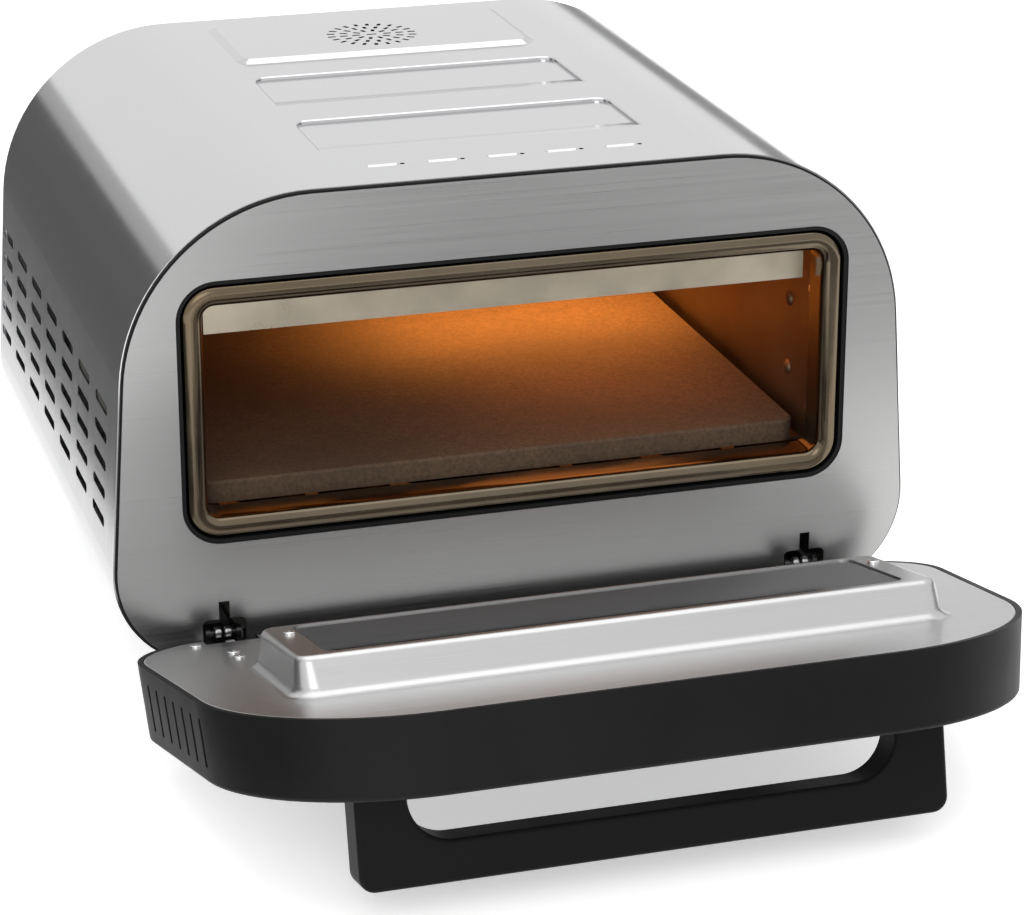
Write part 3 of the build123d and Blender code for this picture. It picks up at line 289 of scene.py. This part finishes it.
def paint_pointer(name, axis):
    """Paint the raised pointer of a knob, the part that stands highest along its axis."""
    obj = NODES[name]
    obj.data.materials.append(MATERIALS["pointer_paint"])
    reach = {face.index: (obj.matrix_world @ face.center).dot(axis) for face in obj.data.polygons}
    crest = max(reach.values())
    for face in obj.data.polygons:
        if reach[face.index] > crest - POINTER_RELIEF:
            face.material_index = 1


for side in ("left", "right"):
    polish_rollers("hinge_bracket_" + side)
for joint in RECORD["behaviour"]["joints"]:
    if joint["name"].endswith("knob_turn"):
        paint_pointer(joint["child"], -Vector(joint["axis"]))


# ---------------------------------------------------------------- studio

def plane_object(name, corners):
    """One four-cornered face as an object of its own."""
    mesh = bpy.data.meshes.new(name)
    mesh.from_pydata(corners, [], [(0, 1, 2, 3)])
    obj = bpy.data.objects.new(name, mesh)
    scene.collection.objects.link(obj)
    return obj


def card(name, corners, strength):
    """A flat studio card that neither lights the scene nor shows: it only appears in reflections."""
    obj = plane_object(name, corners)
    mat = bpy.data.materials.new(name)
    mat.use_nodes = True
    nodes = mat.node_tree.nodes
    nodes.clear()
    out = nodes.new("ShaderNodeOutputMaterial")
    emit = nodes.new("ShaderNodeEmission")
    emit.inputs["Color"].default_value = (1, 1, 1, 1)
    emit.inputs["Strength"].default_value = strength
    mat.node_tree.links.new(emit.outputs[0], out.inputs["Surface"])
    obj.data.materials.append(mat)
    obj.visible_camera = False
    obj.visible_diffuse = False
    obj.visible_shadow = False
    obj.visible_transmission = False


def level_card(name, x_span, y_span, height, strength):
    """A card that lies flat, a little above the floor."""
    (x0, x1), (y0, y1) = x_span, y_span
    card(name, [(x0, y0, height), (x1, y0, height), (x1, y1, height), (x0, y1, height)], strength)


def side_card(name, x, y_span, z_span, strength):
    """A card that stands upright beside the object, facing along x."""
    (y0, y1), (z0, z1) = y_span, z_span
    card(name, [(x, y0, z0), (x, y1, z0), (x, y1, z1), (x, y0, z1)], strength)


def area_light(name, place, target, size, energy, colour=(1, 1, 1)):
    data = bpy.data.lights.new(name, "AREA")
    data.shape = "RECTANGLE"
    data.size, data.size_y = size
    data.energy = energy
    data.color = colour
    obj = bpy.data.objects.new(name, data)
    obj.location = place
    obj.rotation_euler = (Vector(target) - Vector(place)).to_track_quat("-Z", "Y").to_euler()
    scene.collection.objects.link(obj)
    return obj


world = bpy.data.worlds.new("studio")
scene.world = world
world.use_nodes = True
background = world.node_tree.nodes["Background"]
background.inputs["Color"].default_value = (1, 1, 1, 1)
background.inputs["Strength"].default_value = 1.0

FLOOR_HALF = 6
floor = plane_object(
    "floor",
    [(x * FLOOR_HALF, y * FLOOR_HALF, 0) for x, y in ((-1, -1), (1, -1), (1, 1), (-1, 1))],
)
floor_material = Graph("floor").finish(Base_Color=(0.92, 0.92, 0.92), Roughness=0.9)
floor_shader = floor_material.node_tree.nodes["Principled BSDF"]
floor_shader.inputs["Specular IOR Level"].default_value = 0.1
floor_shader.inputs["Emission Color"].default_value = (1, 1, 1, 1)
floor_shader.inputs["Emission Strength"].default_value = 0.42
floor.data.materials.append(floor_material)

area_light("top_soft", (0.0, 0.1, 2.2), (0, 0.1, 0), (2.4, 2.4), 17)
area_light("front_soft", (-0.9, -2.2, 1.5), (0, 0, 0.1), (1.6, 1.2), 10)

# What the left flank mirrors: a dark floor with a pale strip beside the oven, and a wall in two tones.
FAR_BACK = 9.0
PALE_EDGE = -0.292
LEFT_WALL = -1.3
LEFT_WALL_FRONT = -0.2
TONE_LINE = 0.66
level_card("dark_floor", (-2.4, PALE_EDGE), (-0.5, FAR_BACK), 0.004, 0.13)
level_card("pale_floor", (PALE_EDGE, -0.215), (-0.3, FAR_BACK), 0.004, 1.1)
side_card("dark_wall", LEFT_WALL, (LEFT_WALL_FRONT, FAR_BACK), (0, TONE_LINE), 0.14)
side_card("mid_wall", LEFT_WALL, (LEFT_WALL_FRONT, FAR_BACK), (TONE_LINE, 1.0), 0.5)

# What the front panel, the door and the right flank mirror.
level_card("grey_floor", (-0.03, 0.9), (-1.6, -0.46), 0.003, 0.42)
side_card("dark_wall_right", 1.5, (-0.6, 4.0), (0, 0.5), 0.3)

# The glow inside the cavity: a hot patch over the back of the stone and a faint fill near the mouth.
GLOW_ABOVE_STONE = 0.075
stone_low, stone_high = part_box("pizza_stone")
glow_height = stone_high.z + GLOW_ABOVE_STONE
glow_x, glow_y = 0.075, stone_high.y - 0.08
glow = area_light(
    "oven_glow", (glow_x, glow_y, glow_height), (glow_x, glow_y + 0.005, 0), (0.20, 0.09), 0.48,
    (1.0, 0.40, 0.08),
)
glow.data.spread = radians(130)
fill_x, fill_y = 0.09, stone_low.y + 0.12
fill = area_light(
    "oven_fill", (fill_x, fill_y, glow_height), (fill_x, fill_y + 0.001, 0), (0.12, 0.16), 0.10,
    (1.0, 0.34, 0.10),
)
fill.data.spread = radians(150)


# ---------------------------------------------------------------- camera

YAW, PITCH = 17.04, 20.86  # degrees right of +Y and below level
FOCAL, SENSOR_WIDTH = 117.96, 36
CAMERA_PLACE = (-0.49199, -1.65471, 0.76828)
camera_data = bpy.data.cameras.new("camera")
camera_data.lens = FOCAL
camera_data.sensor_width = SENSOR_WIDTH
camera = bpy.data.objects.new("camera", camera_data)
camera.location = CAMERA_PLACE
camera.rotation_euler = (radians(90 - PITCH), 0, radians(-YAW))
scene.collection.objects.link(camera)
scene.camera = camera
